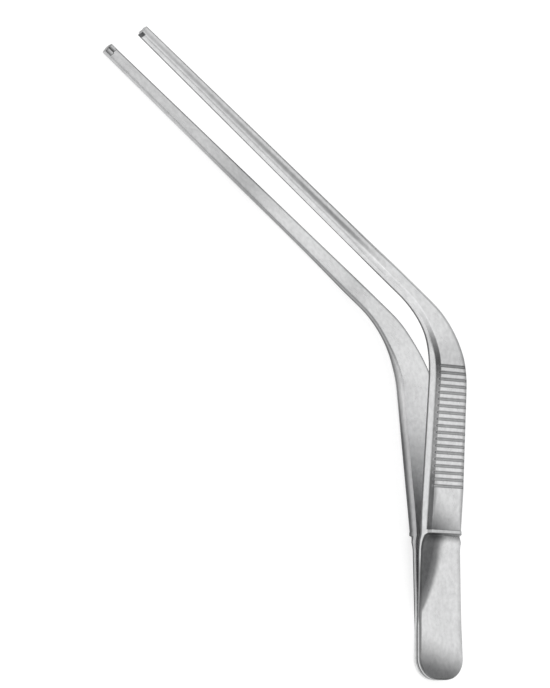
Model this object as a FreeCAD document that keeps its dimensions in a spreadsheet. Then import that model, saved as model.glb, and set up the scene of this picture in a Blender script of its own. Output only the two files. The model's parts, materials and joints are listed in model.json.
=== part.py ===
import FreeCAD, Part
import math
import os
import Sketcher

# Ear dressing forceps: two sprung steel arms welded together at the rear.
# Working frame of each arm: X across the handle, Y from the rear end forward, Z away from the
# plane between the arms. The finished pair is then laid down on its lower arm.

os.makedirs("parts", exist_ok=True)
doc = FreeCAD.newDocument("EarDressingForceps")
sheet = doc.addObject("Spreadsheet::Sheet", "Sizes")

# Driving sizes, in millimetres and degrees.
DRIVING = [
    ("rear_half_width", 6.0),
    ("rear_left_half_width", 5.35),
    ("rear_corner_radius", 4.5),
    ("leaf_front_half_width", 5.2),
    ("leaf_front_left_half_width", 4.8),
    ("leaf_front", 29.2),
    ("leaf_thickness", 1.35),
    ("leaf_edge_bevel", 0.35),
    ("flex_position", 21.0),
    ("spring_position", 13.5),
    ("spring_radius", 100.0),
    ("leaf_angle", 2.4),
    ("knee_position", 34.0),
    ("knee_radius", 90.0),
    ("neck_rise", 2.0),
    ("neck_length", 8.5),
    ("neck_radius", 22.0),
    ("neck_reach", 0.5),
    ("inner_gap_half", 7.0),
    ("step_foot", 28.9),
    ("step_radius", 5.6),
    ("scoop_edge_height", 3.3),
    ("scoop_edge_setback", 0.3),
    ("ridge_position", 30.75),
    ("ridge_length", 0.65),
    ("ridge_height", 0.2),
    ("block_half_width", 4.4),
    ("block_rear_height", 4.15),
    ("block_edge_bevel", 0.8),
    ("panel_front", 40.0),
    ("groove_first", 40.7),
    ("groove_pitch", 1.405),
    ("groove_count", 19),
    ("groove_width", 0.75),
    ("groove_floor", 0.3),
    ("groove_depth", 0.34),
    ("elbow_position", 73.0),
    ("elbow_right_half_width", 3.3),
    ("elbow_left_half_width", 4.4),
    ("elbow_inner_radius", 22.0),
    ("elbow_outer_radius", 24.0),
    ("hump_setback", 5.2),
    ("hump_rise", 2.12),
    ("hump_radius", 12.0),
    ("bend_angle", 53.0),
    ("shaft_root_width", 3.7),
    ("shaft_root_thickness", 2.45),
    ("shaft_root_length", 20.0),
    ("shaft_round_start", 33.0),
    ("shaft_round_width", 3.4),
    ("shaft_round_thickness", 2.45),
    ("shaft_length", 94.3),
    ("tip_width", 2.25),
    ("tip_thickness", 1.9),
    ("crown_flat", 0.3),
    ("shaft_side_height", 1.1),
    ("tooth_length", 1.5),
    ("tooth_height", 0.9),
    ("tooth_half_pitch", 0.62),
    ("near_tooth_half_width", 0.45),
    ("tooth_root", 0.4),
]

# Sizes that follow from the driving ones.
FOLLOWING = [
    ("leaf_slope", "=tan(leaf_angle * 1deg)"),
    ("knee_gap", "=(knee_position - spring_position) * leaf_slope"),
    ("neck_front", "=elbow_position + neck_reach"),
    ("neck_position", "=neck_front - neck_length"),
    ("neck_gap", "=inner_gap_half - neck_rise"),
    ("leaf_spring_position", "=spring_position - leaf_thickness * tan(leaf_angle * 0.5deg)"),
    ("leaf_spring_radius", "=spring_radius - leaf_thickness"),
    ("step_foot_height", "=leaf_thickness + (step_foot - leaf_spring_position) * leaf_slope"),
    ("scoop_edge", "=ridge_position - scoop_edge_setback"),
    ("ridge_top", "=block_rear_height + ridge_height"),
    ("ridge_front", "=ridge_position + ridge_length"),
    ("ridge_front_foot", "=ridge_front + ridge_height"),
    ("hump_position", "=elbow_position - hump_setback"),
    ("hump_height", "=inner_gap_half + hump_rise"),
    ("grip_slope", "=(hump_height - block_rear_height) / (hump_position - ridge_front_foot)"),
    ("grip_angle", "=atan(grip_slope)"),
    ("shaft_root_height", "=inner_gap_half + shaft_root_thickness"),
    ("groove_first_height", "=block_rear_height + (groove_first - ridge_front_foot) * grip_slope"),
    ("grooved_length", "=groove_pitch * (groove_count - 1)"),
    ("bend_cos", "=cos(bend_angle * 1deg)"),
    ("bend_sin", "=sin(bend_angle * 1deg)"),
    ("elbow_right", "=elbow_position + (shaft_root_width / 2 - elbow_right_half_width * bend_cos) / bend_sin"),
    ("elbow_left", "=elbow_position - (shaft_root_width / 2 - elbow_left_half_width * bend_cos) / bend_sin"),
    ("root_right_across", "=shaft_root_width / 2 * bend_cos - shaft_root_length * bend_sin"),
    ("root_right_along", "=elbow_position + shaft_root_width / 2 * bend_sin + shaft_root_length * bend_cos"),
    ("root_left_across", "=-shaft_root_width / 2 * bend_cos - shaft_root_length * bend_sin"),
    ("root_left_along", "=elbow_position - shaft_root_width / 2 * bend_sin + shaft_root_length * bend_cos"),
    ("hump_front", "=elbow_position + 4.5"),
    ("behind_rear", "=-leaf_thickness"),
    ("far_end", "=elbow_position + shaft_length + 20"),
    ("stock_height", "=hump_height + shaft_root_height"),
]


def fill_sheet():
    row = 1
    for alias, value in DRIVING:
        sheet.set("A%d" % row, alias)
        sheet.set("B%d" % row, str(value))
        sheet.setAlias("B%d" % row, alias)
        row += 1
    doc.recompute()
    for alias, formula in FOLLOWING:
        sheet.set("A%d" % row, alias)
        sheet.set("B%d" % row, formula)
        sheet.setAlias("B%d" % row, alias)
        doc.recompute()
        row += 1


def number(alias):
    value = sheet.get(alias)
    return float(getattr(value, "Value", value))


class Length:
    """A signed size: a cell of the sheet, or a plain number, times plus or minus one."""

    def __init__(self, name, sign=1):
        self.name = name
        self.sign = sign

    def value(self):
        if isinstance(self.name, str):
            return self.sign * number(self.name)
        return self.sign * float(self.name)

    def text(self):
        source = "Sizes." + self.name if isinstance(self.name, str) else str(self.name)
        return source if self.sign > 0 else "-1 * " + source


def origin_plane(body, role):
    for feature in body.Origin.OriginFeatures:
        if feature.Role == role:
            return feature
    raise ValueError(role)


def new_sketch(body, name, role):
    sketch = body.newObject("Sketcher::SketchObject", name)
    sketch.AttachmentSupport = [(origin_plane(body, role), "")]
    sketch.MapMode = "FlatFace"
    return sketch


def fix_point(sketch, geometry, corner, place):
    """Hold one point of the sketch at its two sheet values."""
    for kind, size in zip(("DistanceX", "DistanceY"), place):
        index = sketch.addConstraint(
            Sketcher.Constraint(kind, -1, 1, geometry, corner, size.value()))
        sketch.setExpression("Constraints[%d]" % index, size.text())


def outline(sketch, corners):
    """Closed outline through the corners, each a pair of sizes and a rounding radius or None."""
    flat = [FreeCAD.Vector(c[0].value(), c[1].value(), 0) for c in corners]
    count = len(corners)
    entry = []
    leave = []
    for i, corner in enumerate(corners):
        before = (flat[i - 1] - flat[i]).normalize()
        after = (flat[(i + 1) % count] - flat[i]).normalize()
        reach = 0.0
        if corner[2] is not None:
            turn = math.pi - before.getAngle(after)
            reach = corner[2].value() * math.tan(turn / 2.0)
        entry.append(flat[i] + before * reach)
        leave.append(flat[i] + after * reach)
    lines = []
    for i in range(count):
        segment = Part.LineSegment(leave[i], entry[(i + 1) % count])
        lines.append(sketch.addGeometry(segment, False))
    for i, corner in enumerate(corners):
        incoming = lines[i - 1]
        outgoing = lines[i]
        if corner[2] is None:
            sketch.addConstraint(Sketcher.Constraint("Coincident", incoming, 2, outgoing, 1))
            fix_point(sketch, outgoing, 1, corner[:2])
            continue
        before = (flat[i - 1] - flat[i]).normalize()
        after = (flat[(i + 1) % count] - flat[i]).normalize()
        turn = math.pi - before.getAngle(after)
        radius = corner[2].value()
        centre = flat[i] + (before + after).normalize() * (radius / math.cos(turn / 2.0))
        left_turn = before.cross(after).z < 0
        first = entry[i] if left_turn else leave[i]
        last = leave[i] if left_turn else entry[i]
        circle = Part.Circle(centre, FreeCAD.Vector(0, 0, 1), radius)
        angle_first = math.atan2(first.y - centre.y, first.x - centre.x)
        angle_last = math.atan2(last.y - centre.y, last.x - centre.x)
        arc = sketch.addGeometry(Part.ArcOfCircle(circle, angle_first, angle_last), False)
        peak = sketch.addGeometry(Part.Point(flat[i]), True)
        fix_point(sketch, peak, 1, corner[:2])
        arc_in, arc_out = (1, 2) if left_turn else (2, 1)
        sketch.addConstraint(Sketcher.Constraint("Tangent", incoming, 2, arc, arc_in))
        sketch.addConstraint(Sketcher.Constraint("Tangent", arc, arc_out, outgoing, 1))
        sketch.addConstraint(Sketcher.Constraint("PointOnObject", peak, 1, incoming))
        sketch.addConstraint(Sketcher.Constraint("PointOnObject", peak, 1, outgoing))
        index = sketch.addConstraint(Sketcher.Constraint("Radius", arc, radius))
        sketch.setExpression("Constraints[%d]" % index, corner[2].text())


def cut_through(body, sketch, name):
    """Cut the sketch through the whole width and make sure that it removed metal."""
    before = body.Tip.Shape.Volume
    pocket = body.newObject("PartDesign::Pocket", name)
    pocket.Profile = sketch
    pocket.Type = "ThroughAll"
    pocket.Midplane = True
    doc.recompute()
    if pocket.Shape.Volume > before - 0.01:
        raise ValueError(name + " removed nothing")
    return pocket


def rim_edges(shape, side, low, high):
    """Edges between the outer face of the arm and its two side walls, from low to high along Y."""
    names = []
    for i, edge in enumerate(shape.Edges):
        middle = edge.valueAt((edge.FirstParameter + edge.LastParameter) / 2.0)
        if not low < middle.y < high:
            continue
        walls = 0
        tops = 0
        for face in shape.ancestorsOfType(edge, Part.Face):
            u, v = face.Surface.parameter(middle)
            normal = face.normalAt(u, v)
            if abs(normal.z) < 0.02:
                walls += 1
            elif normal.z * side > 0.3:
                tops += 1
        ends = math.hypot(middle.x - root_end.x, middle.y - root_end.y) < 0.2
        if walls == 1 and tops == 1 and not ends:
            names.append("Edge%d" % (i + 1))
    return names


def bevel_rim(body, name, side, low, high, size):
    """Bevel the outer rim of the arm between two places along the handle."""
    base = body.Tip
    names = rim_edges(base.Shape, side, number(low), number(high))
    bevel = body.newObject("PartDesign::Chamfer", name)
    bevel.Base = (base, names)
    bevel.setExpression("Size", "Sizes." + size)
    doc.recompute()
    if bevel.Shape.Volume > base.Shape.Volume - 0.01:
        raise ValueError(name + " removed nothing")


def place_across_shaft(sketch, distance):
    """Stand the sketch square to the axis of the shaft, at a distance from the elbow."""
    sketch.AttachmentOffset = FreeCAD.Placement(
        FreeCAD.Vector(0, 0, 0), FreeCAD.Rotation(FreeCAD.Vector(0, 1, 0), 10.0))
    sketch.setExpression("AttachmentOffset.Rotation.Angle", "Sizes.bend_angle")
    sketch.setExpression("AttachmentOffset.Base.x", "-Sizes.%s * Sizes.bend_sin" % distance)
    sketch.setExpression(
        "AttachmentOffset.Base.z", "-Sizes.elbow_position - Sizes.%s * Sizes.bend_cos" % distance)


def shaft_section(body, name, distance, width, thickness, rounded, side):
    """Section of the shaft across its own axis: flat inside, bevelled or round outside."""
    sketch = new_sketch(body, name, "XZ_Plane")
    place_across_shaft(sketch, distance)
    half = number(width) / 2.0
    low = number("inner_gap_half")
    top = low + number(thickness)
    if rounded:
        shoulder = low + number("shaft_side_height")
        crown = number("crown_flat") / 2.0
        shoulder_text = "Sizes.inner_gap_half + Sizes.shaft_side_height"
        crown_text = "Sizes.crown_flat / 2"
    else:
        shoulder = top - number("block_edge_bevel")
        crown = half - number("block_edge_bevel")
        shoulder_text = "Sizes.inner_gap_half + Sizes.%s - Sizes.block_edge_bevel" % thickness
        crown_text = "Sizes.%s / 2 - Sizes.block_edge_bevel" % width
    half_text = "Sizes.%s / 2" % width
    top_text = "Sizes.inner_gap_half + Sizes.%s" % thickness
    low_text = "Sizes.inner_gap_half"
    places = [
        (-half, low, "-(%s)" % half_text, low_text),
        (half, low, half_text, low_text),
        (half, shoulder, half_text, shoulder_text),
        (crown, top, crown_text, top_text),
        (-crown, top, "-(%s)" % crown_text, top_text),
        (-half, shoulder, "-(%s)" % half_text, shoulder_text),
    ]
    points = [FreeCAD.Vector(p[0], side * p[1], 0) for p in places]
    edges = []
    for i in range(6):
        start = points[i]
        end = points[(i + 1) % 6]
        if rounded and i in (2, 4):
            # Quarter-like arc from the shoulder to the crown, tangent to the side wall.
            a, b = (start, end) if i == 2 else (end, start)
            sign = 1 if i == 2 else -1
            run = abs(a.x) - abs(b.x)
            rise = abs(b.y - a.y)
            radius = (run * run + rise * rise) / (2.0 * run)
            centre = FreeCAD.Vector(sign * (half - radius), a.y, 0)
            angle_a = math.atan2(a.y - centre.y, a.x - centre.x)
            angle_b = math.atan2(b.y - centre.y, b.x - centre.x)
            ccw = (sign * side) > 0
            first, last = (angle_a, angle_b) if ccw else (angle_b, angle_a)
            circle = Part.Circle(centre, FreeCAD.Vector(0, 0, 1), radius)
            index = sketch.addGeometry(Part.ArcOfCircle(circle, first, last), False)
            at_a, at_b = (1, 2) if ccw else (2, 1)
            edges.append((index, at_a, at_b) if i == 2 else (index, at_b, at_a))
        else:
            edges.append((sketch.addGeometry(Part.LineSegment(start, end), False), 1, 2))
    for i in range(6):
        following = edges[(i + 1) % 6]
        sketch.addConstraint(
            Sketcher.Constraint("Coincident", edges[i][0], edges[i][2], following[0], following[1]))
    for i in range(6):
        index, at_start, at_end = edges[i]
        for kind, value, text in (
                ("DistanceX", points[i].x, places[i][2]),
                ("DistanceY", points[i].y, places[i][3] if side > 0 else "-(%s)" % places[i][3])):
            number_of = sketch.addConstraint(
                Sketcher.Constraint(kind, -1, 1, index, at_start, value))
            sketch.setExpression("Constraints[%d]" % number_of, text)
    if rounded:
        # The centre of each arc is level with its shoulder, so the arc leaves the wall straight.
        for i in (2, 4):
            index = edges[i][0]
            shoulder_edge = edges[1] if i == 2 else edges[5]
            shoulder_end = shoulder_edge[2] if i == 2 else shoulder_edge[1]
            sketch.addConstraint(
                Sketcher.Constraint("Horizontal", index, 3, shoulder_edge[0], shoulder_end))
    return sketch


def loft(body, name, first, last):
    feature = body.newObject("PartDesign::AdditiveLoft", name)
    feature.Profile = first
    feature.Sections = [last]
    feature.Ruled = True
    doc.recompute()
    return feature


def build_arm(label, side):
    """One arm, on the plus or minus side of the plane between the arms."""
    plus = lambda name: Length(name)
    minus = lambda name: Length(name, -1)
    out = lambda name: Length(name, side)
    body = doc.addObject("PartDesign::Body", label.replace("_", " ").title().replace(" ", ""))
    body.Label = label

    # Outline of the handle, the elbow and the root of the shaft, seen square on.
    plan = new_sketch(body, "Plan", "XY_Plane")
    outline(plan, [
        (plus("rear_half_width"), plus(0), plus("rear_corner_radius")),
        (plus("leaf_front_half_width"), plus("leaf_front"), None),
        (plus("block_half_width"), plus("ridge_position"), None),
        (plus("block_half_width"), plus("panel_front"), None),
        (plus("elbow_right_half_width"), plus("elbow_right"), plus("elbow_outer_radius")),
        (plus("root_right_across"), plus("root_right_along"), None),
        (plus("root_left_across"), plus("root_left_along"), None),
        (minus("elbow_left_half_width"), plus("elbow_left"), plus("elbow_inner_radius")),
        (minus("block_half_width"), plus("panel_front"), None),
        (minus("block_half_width"), plus("ridge_position"), None),
        (minus("leaf_front_left_half_width"), plus("leaf_front"), None),
        (minus("rear_left_half_width"), plus(0), plus("rear_corner_radius")),
    ])
    blank = body.newObject("PartDesign::Pad", "Blank")
    blank.Profile = plan
    blank.setExpression("Length", "Sizes.stock_height")
    blank.Reversed = side < 0
    doc.recompute()

    # Outer side: flat weld end, spring leaf, step, ridge, sloping grip, elbow, shaft.
    back = new_sketch(body, "OuterSide", "YZ_Plane")
    outline(back, [
        (plus(-5), out("leaf_thickness"), None),
        (plus("leaf_spring_position"), out("leaf_thickness"), plus("leaf_spring_radius")),
        (plus("step_foot"), out("step_foot_height"), plus("step_radius")),
        (plus("scoop_edge"), out("scoop_edge_height"), None),
        (plus("ridge_position"), out("ridge_top"), None),
        (plus("ridge_front"), out("ridge_top"), None),
        (plus("ridge_front_foot"), out("block_rear_height"), None),
        (plus("hump_position"), out("hump_height"), plus("hump_radius")),
        (plus("hump_front"), out("shaft_root_height"), None),
        (plus("far_end"), out("shaft_root_height"), None),
        (plus("far_end"), out("far_end"), None),
        (plus(-5), out("far_end"), None),
    ])
    cut_through(body, back, "OuterCut")

    # Inner side: flat where the arms are welded, a slow rise along the leaf, a faster one along
    # the grip, a hollow behind the elbow where the block thins to a neck, then parallel.
    front = new_sketch(body, "InnerSide", "YZ_Plane")
    outline(front, [
        (plus(-5), plus(0), None),
        (plus("spring_position"), plus(0), plus("spring_radius")),
        (plus("knee_position"), out("knee_gap"), plus("knee_radius")),
        (plus("neck_position"), out("neck_gap"), plus("neck_radius")),
        (plus("neck_front"), out("inner_gap_half"), plus("neck_radius")),
        (plus("far_end"), out("inner_gap_half"), None),
        (plus("far_end"), plus(-5 * side), None),
        (plus(-5), plus(-5 * side), None),
    ])
    cut_through(body, front, "InnerCut")

    # Bevels along the block and the elbow, and finer ones round the leaf.
    bevel_rim(body, "BlockBevel", side, "ridge_position", "far_end", "block_edge_bevel")
    bevel_rim(body, "LeafBevel", side, "behind_rear", "leaf_front", "leaf_edge_bevel")

    # One groove across the grip, square to its slope, repeated along it.
    groove = new_sketch(body, "GrooveShape", "YZ_Plane")
    groove.AttachmentOffset = FreeCAD.Placement(
        FreeCAD.Vector(0, 0, 0), FreeCAD.Rotation(FreeCAD.Vector(0, 0, 1), 5.0 * side))
    groove.setExpression("AttachmentOffset.Base.x", "Sizes.groove_first")
    groove.setExpression("AttachmentOffset.Base.y", out("groove_first_height").text())
    groove.setExpression("AttachmentOffset.Rotation.Angle", "Sizes.grip_angle")
    groove.AttachmentOffset = FreeCAD.Placement(
        FreeCAD.Vector(number("groove_first"), side * number("groove_first_height"), 0),
        FreeCAD.Rotation(FreeCAD.Vector(0, 0, side), number("grip_angle")))
    half_top = Length("groove_width")
    outline(groove, [
        (HalfLength("groove_width", 1), plus(1.0 * side), None),
        (HalfLength("groove_width", 1), plus(0), None),
        (HalfLength("groove_floor", 1), minus("groove_depth") if side > 0 else plus("groove_depth"), None),
        (HalfLength("groove_floor", -1), minus("groove_depth") if side > 0 else plus("groove_depth"), None),
        (HalfLength("groove_width", -1), plus(0), None),
        (HalfLength("groove_width", -1), plus(1.0 * side), None),
    ])
    first_groove = cut_through(body, groove, "Groove")
    rows = body.newObject("PartDesign::LinearPattern", "Grooves")
    rows.Originals = [first_groove]
    rows.Direction = (groove, ["H_Axis"])
    rows.setExpression("Length", "Sizes.grooved_length")
    rows.setExpression("Occurrences", "Sizes.groove_count")
    body.Tip = rows
    doc.recompute()

    # Shaft: bevelled at its root, half round from shaft_round_start to the tip.
    root = shaft_section(
        body, "ShaftRoot", "shaft_root_length", "shaft_root_width", "shaft_root_thickness", False, side)
    middle = shaft_section(
        body, "ShaftRound", "shaft_round_start", "shaft_round_width", "shaft_round_thickness", True, side)
    end = shaft_section(body, "ShaftTip", "shaft_length", "tip_width", "tip_thickness", True, side)
    doc.recompute()
    loft(body, "ShaftBlend", root, middle)
    loft(body, "Shaft", middle, end)

    # Teeth on the inner face of the tip: one point above, two with a notch between them below.
    teeth = new_sketch(body, "TeethShape", "XZ_Plane")
    place_across_shaft(teeth, "shaft_length")
    root_line = Sum("inner_gap_half", "tooth_root", 1, side)
    face_line = out("inner_gap_half")
    point_line = Sum("inner_gap_half", "tooth_height", -1, side)
    if side > 0:
        shape = [
            (minus("near_tooth_half_width"), root_line, None),
            (minus("near_tooth_half_width"), face_line, None),
            (plus(0), point_line, None),
            (plus("near_tooth_half_width"), face_line, None),
            (plus("near_tooth_half_width"), root_line, None),
        ]
    else:
        shape = [
            (HalfLength("tip_width", -1), root_line, None),
            (HalfLength("tip_width", -1), face_line, None),
            (minus("tooth_half_pitch"), point_line, None),
            (plus(0), face_line, None),
            (plus("tooth_half_pitch"), point_line, None),
            (HalfLength("tip_width", 1), face_line, None),
            (HalfLength("tip_width", 1), root_line, None),
        ]
    outline(teeth, shape)
    head = body.newObject("PartDesign::Pad", "Teeth")
    head.Profile = teeth
    head.setExpression("Length", "Sizes.tooth_length")
    doc.recompute()
    return body


class HalfLength(Length):
    """Half of a sheet value, with a sign."""

    def value(self):
        return self.sign * number(self.name) / 2.0

    def text(self):
        return "%d * Sizes.%s / 2" % (self.sign, self.name)


class Sum(Length):
    """One sheet value plus or minus another, on the plus or minus side."""

    def __init__(self, first, second, sign, side):
        self.first = first
        self.second = second
        self.sign = sign
        self.side = side

    def value(self):
        return self.side * (number(self.first) + self.sign * number(self.second))

    def text(self):
        return "%d * (Sizes.%s + %d * Sizes.%s)" % (self.side, self.first, self.sign, self.second)


def lowest(points, down, keep):
    """The point of a zone that reaches furthest along the downward direction."""
    zone = [p for p in points if keep(p)]
    return max(zone, key=lambda p: p.dot(down))


def laid_down(lower, upper):
    """Placement of the pair as it lies: rear end, elbow and tip of the lower arm on the table."""
    points = lower.Shape.tessellate(0.02)[0]
    bend_y = number("elbow_position")
    tip_y = bend_y + number("shaft_length") * number("bend_cos")
    down = FreeCAD.Vector(0, 0, -1)
    for step in range(12):
        rear = lowest(points, down, lambda p: p.y < number("spring_position"))
        elbow = lowest(points, down, lambda p: abs(p.y - bend_y) < number("shaft_root_length"))
        tip = lowest(points, down, lambda p: p.y > tip_y - number("elbow_inner_radius"))
        down = (elbow - rear).cross(tip - rear).normalize()
        if down.z > 0:
            down = down * -1.0
    turn = FreeCAD.Rotation(down, FreeCAD.Vector(0, 0, -1))
    box = FreeCAD.BoundBox()
    for arm in (lower, upper):
        for point in arm.Shape.tessellate(0.02)[0]:
            box.add(turn.multVec(point))
    shift = FreeCAD.Vector(-box.Center.x, -box.Center.y, -box.ZMin)
    for name, point in (("rear", rear), ("elbow", elbow), ("tip", tip)):
        print("rests on the", name, "at", turn.multVec(point) + shift)
    return FreeCAD.Placement(shift, turn)


fill_sheet()
root_end = FreeCAD.Vector(
    -number("shaft_root_length") * number("bend_sin"),
    number("elbow_position") + number("shaft_root_length") * number("bend_cos"), 0)
upper_arm = build_arm("upper_arm", 1)
lower_arm = build_arm("lower_arm", -1)
doc.recompute()
lie = laid_down(lower_arm, upper_arm)
for arm in (upper_arm, lower_arm):
    arm.Placement = lie
doc.recompute()
pivot = lie.multVec(FreeCAD.Vector(0, number("flex_position"), 0))
closing_axis = lie.Rotation.multVec(FreeCAD.Vector(-1, 0, 0))
print("flex axis through", list(pivot), "along", list(closing_axis))
print("weld end faces at", list(lie.multVec(FreeCAD.Vector(0, number("leaf_front") / 4.0, number("leaf_thickness")))),
      list(lie.multVec(FreeCAD.Vector(0, number("leaf_front") / 4.0, -number("leaf_thickness")))),
      "outward", list(lie.Rotation.multVec(FreeCAD.Vector(0, 0, 1))))
for item in doc.Objects:
    if "Invalid" in item.State or "Error" in item.State:
        raise ValueError("%s failed" % item.Name)
for arm in (upper_arm, lower_arm):
    if arm.Shape.isNull() or not arm.Shape.isValid():
        raise ValueError(arm.Label + " is not a valid solid")
    print(arm.Label, "volume", round(arm.Shape.Volume, 2), "solids", len(arm.Shape.Solids), arm.Shape.BoundBox)
    arm.Shape.exportStep("parts/%s.step" % arm.Label)
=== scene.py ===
import json
import math

import bmesh
import bpy
import numpy as np
from mathutils import Matrix, Vector


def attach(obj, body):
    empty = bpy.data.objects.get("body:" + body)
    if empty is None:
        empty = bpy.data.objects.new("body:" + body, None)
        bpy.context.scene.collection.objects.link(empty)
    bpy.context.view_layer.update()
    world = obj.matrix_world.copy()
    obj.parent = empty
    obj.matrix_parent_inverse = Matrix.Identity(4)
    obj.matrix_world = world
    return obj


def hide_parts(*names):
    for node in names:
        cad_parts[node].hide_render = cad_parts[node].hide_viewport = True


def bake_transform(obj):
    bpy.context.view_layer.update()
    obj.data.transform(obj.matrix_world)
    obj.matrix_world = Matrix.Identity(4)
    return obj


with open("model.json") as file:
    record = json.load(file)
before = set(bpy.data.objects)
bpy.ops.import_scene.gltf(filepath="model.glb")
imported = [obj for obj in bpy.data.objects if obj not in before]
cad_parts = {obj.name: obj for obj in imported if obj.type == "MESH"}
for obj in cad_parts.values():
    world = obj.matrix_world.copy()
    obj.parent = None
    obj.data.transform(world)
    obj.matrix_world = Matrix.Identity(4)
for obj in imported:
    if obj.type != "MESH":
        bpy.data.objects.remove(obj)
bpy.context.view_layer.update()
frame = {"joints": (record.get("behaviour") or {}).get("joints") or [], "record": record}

# Sizes of one arm in millimetres, the same as in the CAD source. X goes across the handle,
# Y from the rear end forward and Z outward from the plane between the arms.
REAR_HALF, REAR_LEFT_HALF, REAR_RADIUS = 6.0, 5.35, 4.5
LEAF_FRONT, LEAF_FRONT_HALF, LEAF_FRONT_LEFT_HALF = 29.2, 5.2, 4.8
LEAF_THICK, LEAF_BEVEL, LEAF_ANGLE = 1.35, 0.35, 2.4
SPRING, SPRING_RADIUS, FLEX = 13.5, 100.0, 21.0
KNEE, KNEE_RADIUS = 34.0, 90.0
NECK_REACH, NECK_LENGTH, NECK_RADIUS, NECK_RISE = 0.5, 8.5, 22.0, 2.0
GAP = 7.0
STEP_FOOT, STEP_RADIUS, SCOOP_EDGE, SCOOP_EDGE_HEIGHT = 28.9, 5.6, 30.45, 3.3
RIDGE, RIDGE_LENGTH, RIDGE_HEIGHT = 30.75, 0.65, 0.2
RIDGE_ROUNDS = (0.1, 0.08, 0.12)
BLOCK_HALF, BLOCK_REAR, BLOCK_BEVEL, PANEL_FRONT = 4.4, 4.15, 0.8, 40.0
GROOVE_FIRST, GROOVE_PITCH, GROOVE_COUNT, GROOVE_DEPTH = 40.7, 1.405, 19, 0.34
ELBOW, ELBOW_RIGHT_HALF, ELBOW_LEFT_HALF = 73.0, 3.3, 4.4
ELBOW_INNER, ELBOW_OUTER = 22.0, 24.0
HUMP, HUMP_RISE, HUMP_RADIUS, HUMP_FRONT, HUMP_FRONT_RADIUS = 67.8, 2.12, 12, 77.5, 8
BEND = math.radians(53)
ROOT_WIDTH, ROOT_THICK, ROOT_LENGTH = 3.7, 2.45, 20.0
ROUND_START, ROUND_WIDTH, ROUND_THICK = 33.0, 3.4, 2.45
SHAFT, TIP_WIDTH, TIP_THICK = 94.3, 2.25, 1.9
CROWN, SIDE_HEIGHT = 0.3, 1.1
TOOTH_LENGTH, TOOTH_HEIGHT, TOOTH_HALF_PITCH, NEAR_TOOTH_HALF = 1.5, 0.9, 0.62, 0.45
TOOTH_ROOT, TOOTH_INSET, TOOTH_BEVEL, TOOTH_SHRINK = 0.4, 0.03, 0.08, 0.9
NEAR_CREST, FAR_CREST = 0.05, 0.04
EDGE = 0.1
PAST_REAR, PAST_TIP, WIDEST = -2, 200, 12

BEND_COS, BEND_SIN = math.cos(BEND), math.sin(BEND)
LEAF_SLOPE = math.tan(math.radians(LEAF_ANGLE))


def rounded_path(corners):
    """Points along straight runs, joined at each corner by an arc of that corner's radius."""
    points = [np.array(c[:2], float) for c in corners]
    path = [points[0]]
    for i in range(1, len(points) - 1):
        before = points[i - 1] - points[i]
        after = points[i + 1] - points[i]
        before /= np.linalg.norm(before)
        after /= np.linalg.norm(after)
        turn = math.pi - math.acos(float(np.clip(before @ after, -1, 1)))
        radius = corners[i][2]
        if radius == 0 or turn < 1e-4:
            path.append(points[i])
            continue
        first = points[i] + before * radius * math.tan(turn / 2)
        halfway = before + after
        centre = points[i] + halfway / np.linalg.norm(halfway) * radius / math.cos(turn / 2)
        way = -1 if before[0] * after[1] - before[1] * after[0] > 0 else 1
        count = max(3, int(math.degrees(turn) / 2))
        for k in range(count + 1):
            angle = way * turn * k / count
            arm = first - centre
            path.append(centre + np.array([
                arm[0] * math.cos(angle) - arm[1] * math.sin(angle),
                arm[0] * math.sin(angle) + arm[1] * math.cos(angle)]))
    path.append(points[-1])
    return np.array(path)


# Height of the outer and the inner face along the handle and the shaft.
knee_gap = (KNEE - SPRING) * LEAF_SLOPE
neck_front = ELBOW + NECK_REACH
leaf_spring = SPRING - LEAF_THICK * math.tan(math.radians(LEAF_ANGLE / 2))
foot_height = LEAF_THICK + (STEP_FOOT - leaf_spring) * LEAF_SLOPE
ridge_front = RIDGE + RIDGE_LENGTH
panel_rear = ridge_front + RIDGE_HEIGHT

OUTER = rounded_path([
    (PAST_REAR, LEAF_THICK, 0),
    (leaf_spring, LEAF_THICK, SPRING_RADIUS - LEAF_THICK),
    (STEP_FOOT, foot_height, STEP_RADIUS),
    (SCOOP_EDGE, SCOOP_EDGE_HEIGHT, 0),
    (RIDGE, BLOCK_REAR + RIDGE_HEIGHT, RIDGE_ROUNDS[0]),
    (ridge_front, BLOCK_REAR + RIDGE_HEIGHT, RIDGE_ROUNDS[1]),
    (panel_rear, BLOCK_REAR, RIDGE_ROUNDS[2]),
    (HUMP, GAP + HUMP_RISE, HUMP_RADIUS),
    (HUMP_FRONT, GAP + ROOT_THICK, HUMP_FRONT_RADIUS),
    (PAST_TIP, GAP + ROOT_THICK, 0),
])
INNER = rounded_path([
    (PAST_REAR, 0, 0),
    (SPRING, 0, SPRING_RADIUS),
    (KNEE, knee_gap, KNEE_RADIUS),
    (neck_front - NECK_LENGTH, GAP - NECK_RISE, NECK_RADIUS),
    (neck_front, GAP, NECK_RADIUS),
    (PAST_TIP, GAP, 0),
])

# The outline seen from above, with the radius of each corner.
elbow_right = ELBOW + (ROOT_WIDTH / 2 - ELBOW_RIGHT_HALF * BEND_COS) / BEND_SIN
elbow_left = ELBOW - (ROOT_WIDTH / 2 - ELBOW_LEFT_HALF * BEND_COS) / BEND_SIN
SHARP_CORNER, SOFT_CORNER, PANEL_CORNER = 0.6, 2, 3
PAST_ROOT = 4


def root_point(side):
    """End of the outline along the shaft, on its right or left side."""
    across = side * ROOT_WIDTH / 2
    reach = ROOT_LENGTH + PAST_ROOT
    return (across * BEND_COS - reach * BEND_SIN, ELBOW + across * BEND_SIN + reach * BEND_COS, 0)


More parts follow.
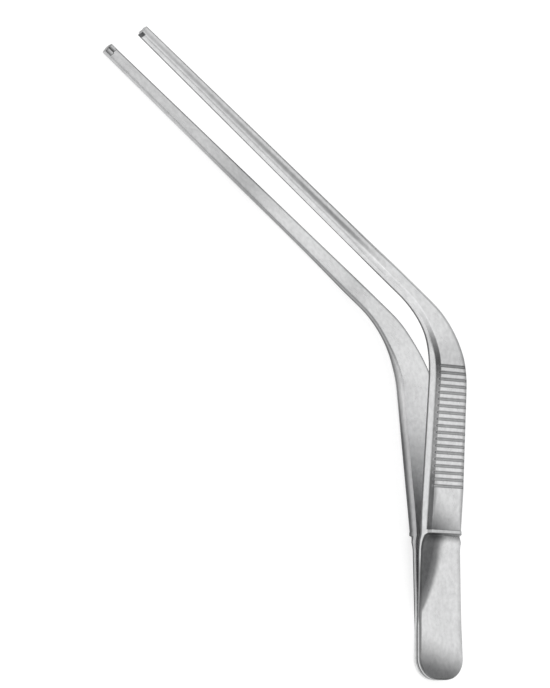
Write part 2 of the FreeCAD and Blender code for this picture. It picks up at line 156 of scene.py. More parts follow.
RIGHT = rounded_path([
    (0, 0, 0),
    (REAR_HALF, 0, REAR_RADIUS),
    (LEAF_FRONT_HALF, LEAF_FRONT, SHARP_CORNER),
    (BLOCK_HALF, RIDGE, SHARP_CORNER),
    (BLOCK_HALF, PANEL_FRONT, PANEL_CORNER),
    (ELBOW_RIGHT_HALF, elbow_right, ELBOW_OUTER),
    root_point(1),
])[1:]
LEFT = rounded_path([
    (0, 0, 0),
    (-REAR_LEFT_HALF, 0, REAR_RADIUS),
    (-LEAF_FRONT_LEFT_HALF, LEAF_FRONT, SOFT_CORNER),
    (-BLOCK_HALF, RIDGE, SOFT_CORNER),
    (-ELBOW_LEFT_HALF, elbow_left, ELBOW_INNER),
    root_point(-1),
])[1:]


def crossing(edge, origin, along, across, side):
    """Where the line across the arm meets one edge of its outline, measured from the origin."""
    t = (edge - origin) @ along
    n = (edge - origin) @ across
    found = []
    for k in range(len(edge) - 1):
        if (t[k] <= 0 < t[k + 1]) or (t[k + 1] <= 0 < t[k]):
            share = -t[k] / (t[k + 1] - t[k])
            reach = n[k] + share * (n[k + 1] - n[k])
            if 0 < reach * side < WIDEST:
                found.append(reach)
    return min(found, key=abs) if found else side * ROOT_WIDTH / 2


# Depth of one groove at distances from its middle.
GROOVE_AT = np.array([-0.43, -0.375, -0.345, -0.18, -0.15, 0, 0.15, 0.18, 0.345, 0.375, 0.43])
GROOVE_CUT = np.array([0, 0.012, 0.045, 0.295, 0.33, 0.34, 0.33, 0.295, 0.045, 0.012, 0])
GROOVE_CUT = GROOVE_CUT / GROOVE_CUT.max() * GROOVE_DEPTH
GROOVES = [GROOVE_FIRST + GROOVE_PITCH * i for i in range(GROOVE_COUNT)]


def groove_cut(y):
    """How deep the grooves cut at a distance from the rear end."""
    nearest = min(GROOVES, key=lambda g: abs(g - y))
    return float(np.interp(y - nearest, GROOVE_AT, GROOVE_CUT, left=0, right=0))


# The middle line of the elbow in this mesh, and the distance along the arm at its end.
TURN_START = 67.0
TURN_REACH = ELBOW - TURN_START
TURN_RADIUS = TURN_REACH / math.tan(BEND / 2)
SHAFT_OFFSET = TURN_START + TURN_RADIUS * BEND - TURN_REACH
ARM_END = SHAFT_OFFSET + SHAFT

# Where rings of the mesh stand: runs along the handle as start, stop and step, single rings near
# the rear end and around the ridge, rings in the rear rounding and in the elbow, and rings on
# the shaft, the last ones as distances from the tip.
REAR_ROUNDING_RINGS, ELBOW_RINGS = 14, 34
HANDLE_RUNS = [(5.2, 26.4, 0.7), (26.5, 32.9, 0.16), (33.4, 40.2, 0.6)]
REAR_RINGS = [0.05, 0.12, 0.2, 0.28, 0.35]
RIDGE_RINGS = [SCOOP_EDGE - 0.02, SCOOP_EDGE + 0.02, RIDGE - 0.06, RIDGE, RIDGE + 0.06,
               ridge_front, ridge_front + 0.05, ridge_front + 0.15, panel_rear, ridge_front + 0.26]
CLOSEST_RINGS = 0.012
SHAFT_RUN = (TURN_REACH + 1, SHAFT - 1.4, 1.5)
TIP_RINGS = [1.0, 0.7, 0.35, 0.1, 0.03, 0]


def stations():
    """Places along the arm where its section is taken: origin, direction, distance along it."""
    ys = list(REAR_RADIUS * (1 - np.cos(np.linspace(0, math.pi / 2, REAR_ROUNDING_RINGS))))
    ys += REAR_RINGS + RIDGE_RINGS
    for run in HANDLE_RUNS:
        ys += list(np.arange(*run))
    for groove in GROOVES:
        ys += list(groove + GROOVE_AT)
        ys.append(groove + GROOVE_PITCH / 2)
    places = []
    for y in sorted(y for y in ys if y < TURN_START):
        if not places or y - places[-1][2] > CLOSEST_RINGS:
            places.append((np.array([0.0, y]), 0.0, y))
    centre = np.array([-TURN_RADIUS, TURN_START])
    for angle in np.linspace(0, BEND, ELBOW_RINGS):
        places.append((centre + TURN_RADIUS * np.array([math.cos(angle), math.sin(angle)]),
                       angle, TURN_START + TURN_RADIUS * angle))
    for s in list(np.arange(*SHAFT_RUN)) + [SHAFT - back for back in TIP_RINGS]:
        places.append((np.array([-s * BEND_SIN, ELBOW + s * BEND_COS]), BEND, SHAFT_OFFSET + s))
    return places


# The rim between side wall and outer face, bevelled or round, from the wall up: its points as
# shares of its width and height, and how far its first point lies below it.
BEVELLED = np.array([
    (0, -0.10), (0.012, 0), (0.07, 0.07), (0.36, 0.36),
    (0.64, 0.64), (0.93, 0.93), (1.0, 0.988), (1.1, 1.0)])
ROUND_SHARES = np.array([0, 0.14, 0.28, 0.43, 0.57, 0.72, 0.86, 1.0])
BEVELLED_DROP, ROUND_DROP = 0.55, 0.3


def rim(run, rise, roundness):
    """Points from the top of the side wall to the edge of the outer face: distance in, height."""
    bevelled = BEVELLED * (run, rise)
    radius = (run * run + rise * rise) / (2 * run)
    largest = math.asin(min(1.0, rise / radius))
    angles = ROUND_SHARES * largest
    rounded = np.stack([radius * (1 - np.cos(angles)), radius * np.sin(angles)], 1)
    below_rim = -rise * (BEVELLED_DROP - (BEVELLED_DROP - ROUND_DROP) * roundness)
    return np.vstack([[(0, below_rim)], bevelled * (1 - roundness) + rounded * roundness])


# Which points of the rim count as outer face, and how much painted shade each gets: on the
# left side where the rim is bevelled, on both sides where it is round, and on the right side
# where it is bevelled.
RIM_OUTER = [0, 0, 1, 1, 1, 1, 1, 1, 1]
LEFT_EDGE = np.array([0, 0.7, 0.9, 1, 1.05, 1.1, 1.1, 0.6, 0])
ROUND_EDGE = np.array([0, 0.05, 0.35, 0.7, 0.9, 0.8, 0.5, 0.2, 0])
RIGHT_EDGE = np.array([0, 0.2, 0.3, 0.45, 0.7, 1.0, 1.2, 1.0, 0.7])

# How much painted shade edges and walls get, as distances along the arm and the tones there. The
# painted shade of the tip goes by the distance from its end.
RIGHT_CORNER = 0.8
RIGHT_RIM = ([29, 31, 66, 72], [0.6, 1, 1, 0.9])
RIGHT_ROUND_RIM = 0.7
LOWER_CORNER = ([10, 14, 60, 75], [0.5, 0, 0, 0.25])
LOWER_WALL = ([10, 14, 60, 80, 120, 145], [0, 0.8, 0.7, 0.4, 0.35, 0.15])
LOWER_WALL_MIDDLE = 0.6
LOWER_RIM = 0.4
UPPER_CORNER = 1.3
UPPER_WALL = ([12, 18], [0.8, 0])
UPPER_RIM = ([29, 32, 42, 46, 60, 66, 74, 79], [1, 1.3, 1.3, 0.75, 0.8, 1.1, 0.9, 0])
UPPER_TIP = ([0.8, 0.95], [1.5, 0])
RIDGE_RIM = 0.1
GROOVE_END = 1.5

# Where points lie on the inner and the outer face, as shares of its width.
INNER_SHARES = (0.2, 0.35, 0.5, 0.65, 0.8)
OUTER_SHARES = (0.1, 0.3, 0.5, 0.7, 0.9)


def tone(curve, distance):
    """How dark a curve says that a place is."""
    return float(np.interp(distance, *curve))


def shaft_shape(s):
    """Half width, thickness, rim width and height, roundness and end bevel of the shaft."""
    marks = [ROOT_LENGTH, ROUND_START, SHAFT]
    half = float(np.interp(s, marks, [ROOT_WIDTH / 2, ROUND_WIDTH / 2, TIP_WIDTH / 2]))
    thick = float(np.interp(s, marks, [ROOT_THICK, ROUND_THICK, TIP_THICK]))
    wall = float(np.interp(s, marks, [ROOT_THICK - BLOCK_BEVEL, SIDE_HEIGHT, SIDE_HEIGHT]))
    crown = float(np.interp(s, marks, [ROOT_WIDTH / 2 - BLOCK_BEVEL, CROWN / 2, CROWN / 2]))
    roundness = float(np.interp(s, marks, [0, 1, 1]))
    tip_in = float(np.interp(s, [SHAFT - 0.1, SHAFT - 0.03, SHAFT], [0, 0.03, EDGE]))
    return half, thick, half - crown, thick - wall, roundness, tip_in


def section(origin, angle, along, side):
    """One closed section: its points, the same points on the straightened arm, and their painted
    shade.

    Each holds 1 on the outer face, 0 on a wall and -1 on the inner face, then the share of a
    groove's depth, or 1 on the tip's end, which sets painted shade there, then how much painted
    shade the edge gets.
    """
    ahead = np.array([-math.sin(angle), math.cos(angle)])
    across = np.array([math.cos(angle), math.sin(angle)])
    s = (origin - np.array([0, ELBOW])) @ np.array([-BEND_SIN, BEND_COS])
    on_shaft = angle > BEND - 1e-6 and s >= ROOT_LENGTH
    at_end = on_shaft and s > SHAFT - 0.02
    if on_shaft:
        half, thick, run, rise, roundness, tip_in = shaft_shape(s)
        left, right = -half + tip_in, half - tip_in
    else:
        left = crossing(LEFT, origin, ahead, across, -1)
        right = crossing(RIGHT, origin, ahead, across, 1)
        if angle == 0:
            left = float(np.interp(origin[1], LEFT[:, 1], LEFT[:, 0]))
            right = float(np.interp(origin[1], RIGHT[:, 1], RIGHT[:, 0]))
        run = rise = float(np.interp(origin[1], [LEAF_FRONT, RIDGE], [LEAF_BEVEL, BLOCK_BEVEL]))
        roundness = 0.0

    def height(n, outer):
        y = (origin + across * n)[1]
        if on_shaft:
            return GAP + thick - tip_in if outer else GAP + tip_in
        if outer:
            return float(np.interp(y, OUTER[:, 0], OUTER[:, 1])) - max(0.0, LEAF_BEVEL - y)
        return float(np.interp(y, INNER[:, 0], INNER[:, 1]))

    points = []
    straight = []
    face_and_painted_shade = []

    def put(n, z, outer=0.0, recess=0.0, edge=0.0):
        plan = origin + across * n
        points.append((plan[0], plan[1], z))
        straight.append((n, along, z))
        face_and_painted_shade.append((outer, recess, edge))

    # On the tip's end face the groove share is 1, for full painted shade there.
    def low(n, dz=0.0, outer=-1.0, edge=0.0):
        put(n, height(n, False) + dz, outer, 1.0 if at_end else 0.0, edge)

    def high(n, drop=0.0, outer=1.0, edge=0.0):
        top = height(n, True)
        z = top - drop
        recess = 0.0
        if angle == 0:
            cut = groove_cut((origin + across * n)[1])
            z = min(z, top - cut)
            # A groove gets painted shade by the share of its depth, and where it meets the left rim
            # the rim gets painted shade too.
            if drop < GROOVE_DEPTH + EDGE:
                recess = cut / GROOVE_DEPTH
                if drop > 0 and n < 0:
                    edge = max(edge, GROOVE_END * recess)
        put(n, z, outer, 1.0 if at_end else recess, edge)

    # The left side is the one that the photograph shows. The lower arm's wall gets painted shade
    # towards its outer edge, and the upper arm's rim gets painted shade, darkest beside the panel
    # and dying out past the elbow; near its end the tip gets painted shade on its edges.
    if side < 0:
        at_tip = 0.0
        left_corner = tone(LOWER_CORNER, along)
        wall_top = tone(LOWER_WALL, along)
        wall_middle = wall_top * LOWER_WALL_MIDDLE
        strength = LOWER_RIM
    else:
        at_tip = tone(UPPER_TIP, ARM_END - along)
        left_corner = UPPER_CORNER
        wall_top = tone(UPPER_WALL, along)
        wall_middle = 0.0
        strength = tone(UPPER_RIM, along)

    # The inner face, from left to right, and the right wall.
    width = right - left
    low(left + EDGE, edge=left_corner)
    low(left + EDGE * 3)
    for share in INNER_SHARES:
        low(left + width * share)
    low(right - min(EDGE * 5.5, width * 0.15))
    low(right - EDGE * 1.2, edge=RIGHT_CORNER)
    low(right - EDGE * 0.3, EDGE * 0.3, 0, RIGHT_CORNER)
    low(right, EDGE, 0, RIGHT_CORNER)
    low(right, EDGE * 2.5, 0)
    path = rim(run, rise, roundness)
    base = height(right, False)
    top = height(right, True)
    put(right, (base + EDGE * 2.5 + top - rise + path[0][1]) / 2)

    # The right rim, the outer face and the left rim.
    right_edges = RIGHT_EDGE * (1 - roundness) * tone(RIGHT_RIM, along)
    right_edges = right_edges + ROUND_EDGE * roundness * RIGHT_ROUND_RIM
    for (inward, up), outer, edge in zip(path, RIM_OUTER, right_edges):
        high(right - inward, rise - up, outer, edge)
    inner_left = left + path[-1][0]
    inner_right = right - path[-1][0]
    for share in OUTER_SHARES:
        high(inner_right + (inner_left - inner_right) * share)
    left_edges = (LEFT_EDGE * (1 - roundness) + ROUND_EDGE * roundness) * strength
    if RIDGE - 0.03 < along < ridge_front + 0.12:
        left_edges = left_edges * RIDGE_RIM
    left_edges[0] = wall_top
    for (inward, up), outer, edge in zip(path[::-1], RIM_OUTER[::-1], left_edges[::-1]):
        high(left + inward, rise - up, outer, max(edge, at_tip if inward < 0.5 else 0))

    # The left wall, down to the inner face.
    base = height(left, False)
    top = height(left, True)
    wall = top - rise + path[0][1] - base
    left_corner = max(left_corner, at_tip)
    put(left, base + wall * 0.8, edge=max(wall_middle, at_tip))
    low(left, min(0.85, wall * 0.7), 0, at_tip)
    low(left, min(0.45, wall * 0.4), 0, left_corner)
    low(left, EDGE, 0, left_corner)
    low(left + EDGE * 0.3, EDGE * 0.3, 0, left_corner)
    return points, straight, face_and_painted_shade


def close_rings(faces, first, rings, count):
    """Faces around a row of rings of points, closed at both ends."""
    for ring in range(rings - 1):
        for k in range(count):
            a = first + ring * count + k
            b = first + ring * count + (k + 1) % count
            faces.append((a, a + count, b + count, b))
    last = first + (rings - 1) * count
    faces.append(tuple(first + k for k in range(count)))
    faces.append(tuple(last + k for k in range(count)))


# Painted shade on the teeth: strong at their ends and where they meet the inner face, light
# elsewhere.
TOOTH_EDGE_TONE, TOOTH_FACE_TONE, TOOTH_REAR_STRIP = 0.9, 0.15, 0.25


def tooth_outline(side):
    """Section of the tooth on the upper arm, or of the two teeth on the lower arm."""
    root = GAP + TOOTH_ROOT
    crest = GAP - TOOTH_HEIGHT
    if side > 0:
        half = NEAR_TOOTH_HALF
        ridges = [(-NEAR_CREST, crest + NEAR_CREST), (NEAR_CREST, crest + NEAR_CREST)]
    else:
        half = TIP_WIDTH / 2 - TOOTH_INSET
        ridges = [(-TOOTH_HALF_PITCH - FAR_CREST, crest + FAR_CREST),
                  (-TOOTH_HALF_PITCH + FAR_CREST, crest + FAR_CREST),
                  (0, GAP),
                  (TOOTH_HALF_PITCH - FAR_CREST, crest + FAR_CREST),
                  (TOOTH_HALF_PITCH + FAR_CREST, crest + FAR_CREST)]
    return [(-half, root), (-half, GAP)] + ridges + [(half, GAP), (half, root)]


def tooth_prism(outline, points, straight, face_and_painted_shade, faces, along):
    """A tooth on the inner face of the tip, with a slightly tapered front."""
    ahead = np.array([-BEND_SIN, BEND_COS])
    across = np.array([BEND_COS, BEND_SIN])
    end = np.array([0.0, ELBOW]) + ahead * SHAFT
    first = len(points)
    rings = ((TOOTH_LENGTH, 1.0), (TOOTH_LENGTH - TOOTH_REAR_STRIP, 1.0),
             (TOOTH_BEVEL, 1.0), (0.0, TOOTH_SHRINK))
    for back, shrink in rings:
        at_edge = back in (0.0, TOOTH_LENGTH)
        for n, z in outline:
            plan = end - ahead * back + across * n * shrink
            points.append((plan[0], plan[1], GAP + (z - GAP) * (shrink if z < GAP else 1)))
            straight.append((n, along - back, z))
            # Painted shade: strong at the tooth's ends and along its foot, light on its flanks.
            dark = at_edge or abs(z - GAP) < 0.01
            face_and_painted_shade.append((-1.0, 0.0, TOOTH_EDGE_TONE if dark else TOOTH_FACE_TONE))
    close_rings(faces, first, len(rings), len(outline))


# The way from an arm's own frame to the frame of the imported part.
joint = frame["joints"][0]
x_axis = -Vector(joint["axis"]).normalized()
z_axis = Vector(frame["record"]["mounts"][0]["axis"]).normalized()
y_axis = z_axis.cross(x_axis).normalized()
z_axis = x_axis.cross(y_axis).normalized()
MM = 0.001
origin_row = Vector(joint["pos_m"]) - y_axis * FLEX * MM
PLACEMENT = Matrix((
    (x_axis.x * MM, y_axis.x * MM, z_axis.x * MM, origin_row.x),
    (x_axis.y * MM, y_axis.y * MM, z_axis.y * MM, origin_row.y),
    (x_axis.z * MM, y_axis.z * MM, z_axis.z * MM, origin_row.z),
    (0, 0, 0, 1),
))


def row_point(x, y, z):
    """A point of an arm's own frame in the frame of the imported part."""
    return PLACEMENT @ Vector((x, y, z))


def store(mesh, name, kind, field, values):
    """Keep values with the points of the mesh, for its material to read."""
    layer = mesh.attributes.new(name, kind, "POINT")
    layer.data.foreach_set(field, np.array(values, np.float32).ravel())


def arm_mesh(name, side):
    """Mesh of one arm, on the plus or minus side of the plane between the arms, in metres."""
    rings = [section(*place, side) for place in stations()]
    points = [p for ring in rings for p in ring[0]]
    straight = [p for ring in rings for p in ring[1]]
    face_and_painted_shade = [p for ring in rings for p in ring[2]]
    faces = []
    close_rings(faces, 0, len(rings), len(rings[0][0]))
    tooth_prism(tooth_outline(side), points, straight, face_and_painted_shade, faces, rings[-1][1][0][1])
    mesh = bpy.data.meshes.new(name)
    mesh.from_pydata([row_point(p[0], p[1], side * p[2]) for p in points], [], faces)
    store(mesh, "unbent", "FLOAT_VECTOR", "vector", straight)
    # Face kind, groove share and the edge's painted shade of each point, for the material.
    store(mesh, "face_and_painted_shade", "FLOAT_VECTOR", "vector", face_and_painted_shade)
    store(mesh, "lies_below", "FLOAT", "value", [1.0 if side < 0 else 0.0] * len(points))
    work = bmesh.new()
    work.from_mesh(mesh)
    bmesh.ops.recalc_face_normals(work, faces=work.faces)
    work.to_mesh(mesh)
    work.free()
    # The faces with more than four corners are the ends, which stay flat.
    for face in mesh.polygons:
        face.use_smooth = len(face.vertices) < 5
    return mesh


# Colours of the steel: where its clouds are dull, where bright, and under full painted shade.
DULL_STEEL = (0.80, 0.803, 0.807, 1)
BRIGHT_STEEL = (0.88, 0.883, 0.887, 1)
DARK_STEEL = (0.03, 0.031, 0.033, 1)

# Noises: scale, stretch across, along and through, and detail.
BRUSHING = (9.0, (1.0, 0.05, 1.0), 3)
CLOUDS = (0.35, (1.0, 0.6, 1.0), 4)
MOTTLE = (1.3, (1.0, 0.7, 1.0), 4)
NOISE_RANGE = (0.3, 0.7)

# Tones of the steel, from 0 for bright to 1 for dark: painted shade, and the steel's own mottle.
# Most are ranges: where a value starts and stops changing, in millimetres along or across the arm,
# and what it is at the start and the stop. A hump has its middle, its half length and its peak.
SCOOP_START, SCOOP_CURVE, SCOOP_SLOPE, SCOOP_SHIFT = 29.6, -0.0145, -0.1, 0.3
SCOOP_SOFTNESS = (12, 30, 0.5, 2.6)
SCOOP_REAR = (6, 14, 0, 1)
SCOOP_DEPTH = (-1, 2.2, 0.5, 0.86)
SCOOP_FRONT = (30.7, 30.85, 1, 0)
PANEL_ALONG, PANEL_ACROSS, PANEL_TONE = -0.125, -0.083, 0.9
PANEL_SPREAD = (-4.84, -3.44, 0, 1)
PANEL_REAR = (ridge_front, panel_rear, 0, 1)
BESIDE_BEVEL = (-3.6, -2.4, 0.55, 0)
BESIDE_FRONT = (40, 46, 1, 0)
STREAK_LEFT = (-1.5, -0.65, 0, 1)
STREAK_RIGHT = (-0.3, 0.3, 1, 0)
STREAK_REAR = (93, 108, 0, 1)
STREAK_TONE = (112, 162, 0.5, 0.22)
REAR_SLANT, REAR_TONE = 0.3, 0.8
REAR_SPREAD = (9.0, 0.6, 0, 1)
RIDGE_START = (30.65, 30.75, 0, 1)
RIDGE_TONE = (ridge_front, panel_rear, 0.22, 0)
UNDER_RIDGE_START = (30.2, 30.42, 0, 1)
UNDER_RIDGE_TONE = (30.82, 30.9, 0.72, 0)
EDGE_TONES = (0, 1, 0.55, 0.85)
GROOVE_TONE = (0.1, 1.0, 0, 0.5)
UPPER_WALL_LEAST = 0.18
UPPER_WALL_LEAF = (28, 22, 0, 0.6)
UPPER_WALL_REAR = (10, 14, 0, 1)
UPPER_WALL_ELBOW = (74, 9, 0.32)
LOWER_WALL_TONE = (10, 17, 0.12, 0.6)
LOWER_WALL_SHAFT = (125, 145, 0.8, 0.45)
LOWER_WALL_ELBOW = (62, 14, 0.25)
INNER_FRONT = (60, 40, 0, 0.53)
INNER_REAR = (37, 25, 1, 0)
INNER_SHAFT = (112, 130, 0, 0.17)
INNER_MIDDLE = (125, 13, 0.17)
INNER_ELBOW = (91, 7, 0.14)
OUTER_ELBOW = (68, 8, 0.2)
OUTER_SHAFT = (92, 103, 0, 0.13)
DARKEST = 0.9
MOTTLE_TONE = (0.14, -0.02)
MOTTLE_FADE = (0, 0.8, 1, 0.25)
BRUSHING_ROUGHNESS = (-0.04, 0.04)
CLOUDS_ROUGHNESS = (0.28, 0.36)
GRAIN_STRENGTH, GRAIN_DEPTH = 0.12, 0.00002


def steel():
    """Satin steel with a soft cloudiness, with painted shade behind the ridge, on bevels and in
    grooves.
    """
    material = bpy.data.materials.new("satin_steel")
    material.use_nodes = True
    nodes = material.node_tree.nodes
    links = material.node_tree.links
    shader = nodes["Principled BSDF"]
    shader.inputs["Metallic"].default_value = 1.0

    def attribute(name, kind="Vector"):
        node = nodes.new("ShaderNodeAttribute")
        node.attribute_name = name
        return node.outputs[kind]

    def parts(vector):
        split = nodes.new("ShaderNodeSeparateXYZ")
        links.new(vector, split.inputs[0])
        return split.outputs

    def math_node(operation, *values):
        node = nodes.new("ShaderNodeMath")
        node.operation = operation
        for socket, value in zip(node.inputs, values):
            if isinstance(value, (int, float)):
                socket.default_value = value
            else:
                links.new(value, socket)
        return node.outputs[0]

    def chained(operation, values):
        result = values[0]
        for value in values[1:]:
            result = math_node(operation, result, value)
        return result

    def times(*values):
        return chained("MULTIPLY", values)

    def plus(*values):
        return chained("ADD", values)

    def largest(*values):
        return chained("MAXIMUM", values)

    def noise(scale, stretch, detail):
        move = nodes.new("ShaderNodeMapping")
        move.inputs["Scale"].default_value = stretch
        links.new(place, move.inputs["Vector"])
        texture = nodes.new("ShaderNodeTexNoise")
        texture.inputs["Scale"].default_value = scale
        texture.inputs["Detail"].default_value = detail
        links.new(move.outputs["Vector"], texture.inputs["Vector"])
        return texture.outputs["Fac"]

    def ranged(value, start, stop, low, high, kind="LINEAR"):
        spread = nodes.new("ShaderNodeMapRange")
        spread.interpolation_type = kind
        spread.inputs["From Min"].default_value = start
        spread.inputs["From Max"].default_value = stop
        spread.inputs["To Min"].default_value = low
        spread.inputs["To Max"].default_value = high
        links.new(value, spread.inputs["Value"])
        return spread.outputs["Result"]

    def eased(value, start, stop, low, high):
        return ranged(value, start, stop, low, high, "SMOOTHSTEP")

    def hump(value, centre, half, peak):
        away = math_node("ABSOLUTE", math_node("SUBTRACT", value, centre))
        return eased(away, 0, half, peak, 0)

    def chosen(share, first, second):
        mix = nodes.new("ShaderNodeMix")
        links.new(share, mix.inputs[0])
        links.new(first, mix.inputs[2])
        links.new(second, mix.inputs[3])
        return mix.outputs[0]

    place = attribute("unbent")
    across, along = parts(place)[:2]
    # Face kind, groove share and how much painted shade each edge gets.
    outer, recess, edge = parts(attribute("face_and_painted_shade"))
    below = attribute("lies_below", "Fac")
    brushing = noise(*BRUSHING)
    clouds = noise(*CLOUDS)
    mottle = noise(*MOTTLE)

    # A painted dark reflection behind the ridge: a wedge that runs out along the left edge.
    behind = math_node("SUBTRACT", SCOOP_START, along)
    reach = times(behind, plus(times(behind, SCOOP_CURVE), SCOOP_SLOPE))
    inside = math_node("SUBTRACT", plus(reach, SCOOP_SHIFT), across)
    wedge = eased(math_node("DIVIDE", inside, ranged(along, *SCOOP_SOFTNESS)), -0.5, 0.5, 0, 1)
    scoop_shade = times(wedge, eased(along, *SCOOP_REAR), ranged(inside, *SCOOP_DEPTH),
                  ranged(along, *SCOOP_FRONT))

    # Painted shade on the panel, darker towards its rear left corner, and a soft painted shade
    # beside its bevel.
    in_front = ranged(along, *PANEL_REAR)
    lean = plus(times(along, PANEL_ALONG), times(across, PANEL_ACROSS))
    panel = times(eased(lean, *PANEL_SPREAD), in_front, PANEL_TONE)
    beside = times(eased(across, *BESIDE_BEVEL), in_front, ranged(along, *BESIDE_FRONT))

    # A soft line of painted shade runs along the shaft, fading out towards the elbow and the tip.
    shaft_core_shade = times(eased(across, *STREAK_LEFT), eased(across, *STREAK_RIGHT),
                   eased(along, *STREAK_REAR), ranged(along, *STREAK_TONE))

    # Painted shade darkens the rear end, along a slanting line.
    rear = times(eased(plus(along, times(across, REAR_SLANT)), *REAR_SPREAD), REAR_TONE)

    # The ridge gets a little painted shade, and a painted shadow line lies below it.
    ridge = times(ranged(along, *RIDGE_START), ranged(along, *RIDGE_TONE))
    under = times(ranged(along, *UNDER_RIDGE_START), ranged(along, *UNDER_RIDGE_TONE))

    # All painted shade together: on the outer face from the marks above, then at edges, stronger on
    # the lower arm, and in the grooves.
    dark = largest(scoop_shade, panel, rear, ridge, under, beside, shaft_core_shade)
    dark = times(dark, largest(outer, 0.0))
    dark = largest(dark, times(edge, ranged(below, *EDGE_TONES)), ranged(recess, *GROOVE_TONE))

    # Painted shade on the side walls and the inner faces, darker than on the outer faces, and
    # different on each arm; the elbows and shafts also darken by place along each arm.
    walls = eased(math_node("ABSOLUTE", outer), 0, 1, 1, 0)
    upper_walls = times(eased(along, *UPPER_WALL_LEAF), eased(along, *UPPER_WALL_REAR))
    upper_walls = largest(upper_walls, hump(along, *UPPER_WALL_ELBOW), UPPER_WALL_LEAST)
    lower_walls = times(eased(along, *LOWER_WALL_TONE), eased(along, *LOWER_WALL_SHAFT))
    lower_walls = math_node("SUBTRACT", lower_walls, hump(along, *LOWER_WALL_ELBOW))
    inner = times(outer, -1, eased(along, *INNER_FRONT), eased(along, *INNER_REAR))
    inner = plus(largest(inner, 0.0), hump(along, *INNER_MIDDLE), hump(along, *INNER_ELBOW),
                 eased(along, *INNER_SHAFT))
    outside = plus(hump(along, *OUTER_ELBOW), eased(along, *OUTER_SHAFT))
    dark = plus(dark, times(walls, chosen(below, upper_walls, lower_walls)),
                times(math_node("ABSOLUTE", outer), chosen(below, outside, inner)))
    dark = math_node("MINIMUM", dark, DARKEST)
    spots = times(ranged(mottle, *NOISE_RANGE, *MOTTLE_TONE), ranged(dark, *MOTTLE_FADE))
    dark = plus(dark, spots)

    tint = nodes.new("ShaderNodeMix")
    tint.data_type = "RGBA"
    tint.inputs[6].default_value = DULL_STEEL
    tint.inputs[7].default_value = BRIGHT_STEEL
    links.new(ranged(clouds, *NOISE_RANGE, 0, 1), tint.inputs[0])
    shaded = nodes.new("ShaderNodeMix")
    shaded.data_type = "RGBA"
    shaded.inputs[7].default_value = DARK_STEEL
    links.new(dark, shaded.inputs[0])
    links.new(tint.outputs[2], shaded.inputs[6])
    links.new(shaded.outputs[2], shader.inputs["Base Color"])

    gloss = plus(ranged(brushing, *NOISE_RANGE, *BRUSHING_ROUGHNESS),
                 ranged(clouds, *NOISE_RANGE, *CLOUDS_ROUGHNESS))
    links.new(gloss, shader.inputs["Roughness"])
    grain = nodes.new("ShaderNodeBump")
    grain.inputs["Strength"].default_value = GRAIN_STRENGTH
    grain.inputs["Distance"].default_value = GRAIN_DEPTH
    links.new(brushing, grain.inputs["Height"])
    links.new(grain.outputs["Normal"], shader.inputs["Normal"])
    return material


STEEL = steel()


def arm(node_name, side):
    """One arm as a piece of the visual model, in place of its CAD node."""
    mesh = arm_mesh(node_name + "_steel", side)
    mesh.materials.append(STEEL)
    piece = bpy.data.objects.new(node_name + "_steel", mesh)
    bpy.context.scene.collection.objects.link(piece)
    weighted = piece.modifiers.new("flat_faces", "WEIGHTED_NORMAL")
    weighted.keep_sharp = True
    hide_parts(node_name)
    return piece


lower = arm("lower_arm", -1)
upper = arm("upper_arm", 1)
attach(lower, "lower")
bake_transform(upper)

# Floor, plain and pale.
FLOOR_HALF = 6
FLOOR_GREY, FLOOR_ROUGHNESS, FLOOR_GLOW = 0.4, 0.95, 0.74
floor_mesh = bpy.data.meshes.new("floor")
floor_mesh.from_pydata([
    (-FLOOR_HALF, -FLOOR_HALF, 0), (FLOOR_HALF, -FLOOR_HALF, 0),
    (FLOOR_HALF, FLOOR_HALF, 0), (-FLOOR_HALF, FLOOR_HALF, 0)], [], [(0, 1, 2, 3)])
floor = bpy.data.objects.new("floor", floor_mesh)
bpy.context.scene.collection.objects.link(floor)
paper = bpy.data.materials.new("paper")
paper.use_nodes = True
paper_sockets = paper.node_tree.nodes["Principled BSDF"].inputs
paper_sockets["Base Color"].default_value = (FLOOR_GREY, FLOOR_GREY, FLOOR_GREY, 1)
paper_sockets["Roughness"].default_value = FLOOR_ROUGHNESS
paper_sockets["Emission Color"].default_value = (1, 1, 1, 1)
paper_sockets["Emission Strength"].default_value = FLOOR_GLOW
floor_mesh.materials.append(paper)

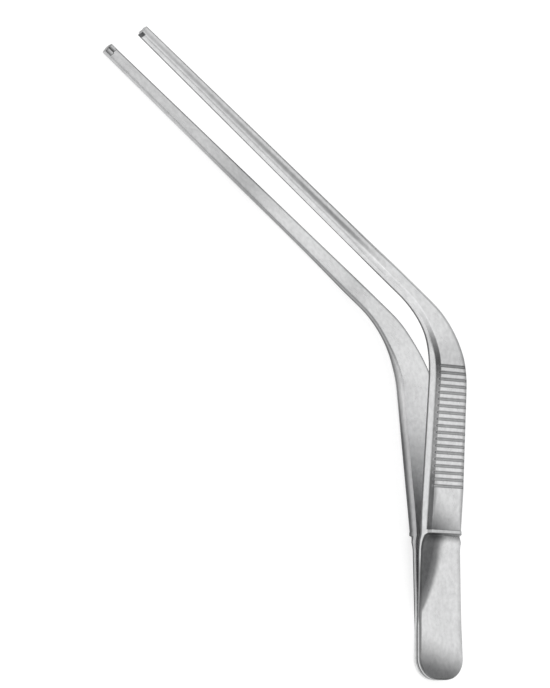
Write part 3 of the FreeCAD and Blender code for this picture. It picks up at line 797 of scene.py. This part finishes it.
# Soft studio light: a bright dome that falls off towards the horizon, a little dimmer where the
# outer faces look, and a soft light from one side. Each has its direction, the cosines between
# which it changes, and its strength at the two.
DOME = ((0, 0, 1), 0.25, 0.75, 0.2, 1.2)
WINDOW = ((0.43, -0.002, 0.903), 0.72, 0.97, 1.0, 0.72)
SIDE = ((-0.3, -0.9, 0.31), 0.75, 0.97, 0, 0.5)
world = bpy.data.worlds.new("studio")
bpy.context.scene.world = world
world.use_nodes = True
sky = world.node_tree.nodes
sky_links = world.node_tree.links
sky["Background"].inputs["Color"].default_value = (1, 1, 1, 1)
towards = sky.new("ShaderNodeTexCoord")


def sky_share(direction, start, stop, low, high):
    """A value that goes smoothly from low to high as a ray turns towards the direction."""
    facing = sky.new("ShaderNodeVectorMath")
    facing.operation = "DOT_PRODUCT"
    facing.inputs[1].default_value = direction
    sky_links.new(towards.outputs["Generated"], facing.inputs[0])
    spread = sky.new("ShaderNodeMapRange")
    spread.interpolation_type = "SMOOTHSTEP"
    spread.inputs["From Min"].default_value = start
    spread.inputs["From Max"].default_value = stop
    spread.inputs["To Min"].default_value = low
    spread.inputs["To Max"].default_value = high
    sky_links.new(facing.outputs["Value"], spread.inputs["Value"])
    return spread.outputs["Result"]


def combined(operation, first, second):
    node = sky.new("ShaderNodeMath")
    node.operation = operation
    sky_links.new(first, node.inputs[0])
    sky_links.new(second, node.inputs[1])
    return node.outputs[0]


overhead = combined("MULTIPLY", sky_share(*DOME), sky_share(*WINDOW))
light = combined("ADD", overhead, sky_share(*SIDE))
sky_links.new(light, sky["Background"].inputs["Strength"])

# The camera stands where the photograph was taken from.
CAMERA_AT = Vector((-0.35887826, -0.15319878, 0.46342670))
CAMERA_RIGHT = Vector((0.80029138, -0.07184192, 0.59529191))
CAMERA_UP = Vector((-0.10039197, 0.96272818, 0.25114916))
CAMERA_BACK = Vector((-0.59114733, -0.26075503, 0.76325071))
lens = bpy.data.cameras.new("camera")
lens.sensor_width = 36
lens.lens = 150.36
lens.clip_start = 0.01
lens.clip_end = 20
camera = bpy.data.objects.new("camera", lens)
bpy.context.scene.collection.objects.link(camera)
camera.matrix_world = Matrix((
    (CAMERA_RIGHT.x, CAMERA_UP.x, CAMERA_BACK.x, CAMERA_AT.x),
    (CAMERA_RIGHT.y, CAMERA_UP.y, CAMERA_BACK.y, CAMERA_AT.y),
    (CAMERA_RIGHT.z, CAMERA_UP.z, CAMERA_BACK.z, CAMERA_AT.z),
    (0, 0, 0, 1),
))
bpy.context.scene.camera = camera
bpy.context.scene.view_settings.view_transform = "Standard"
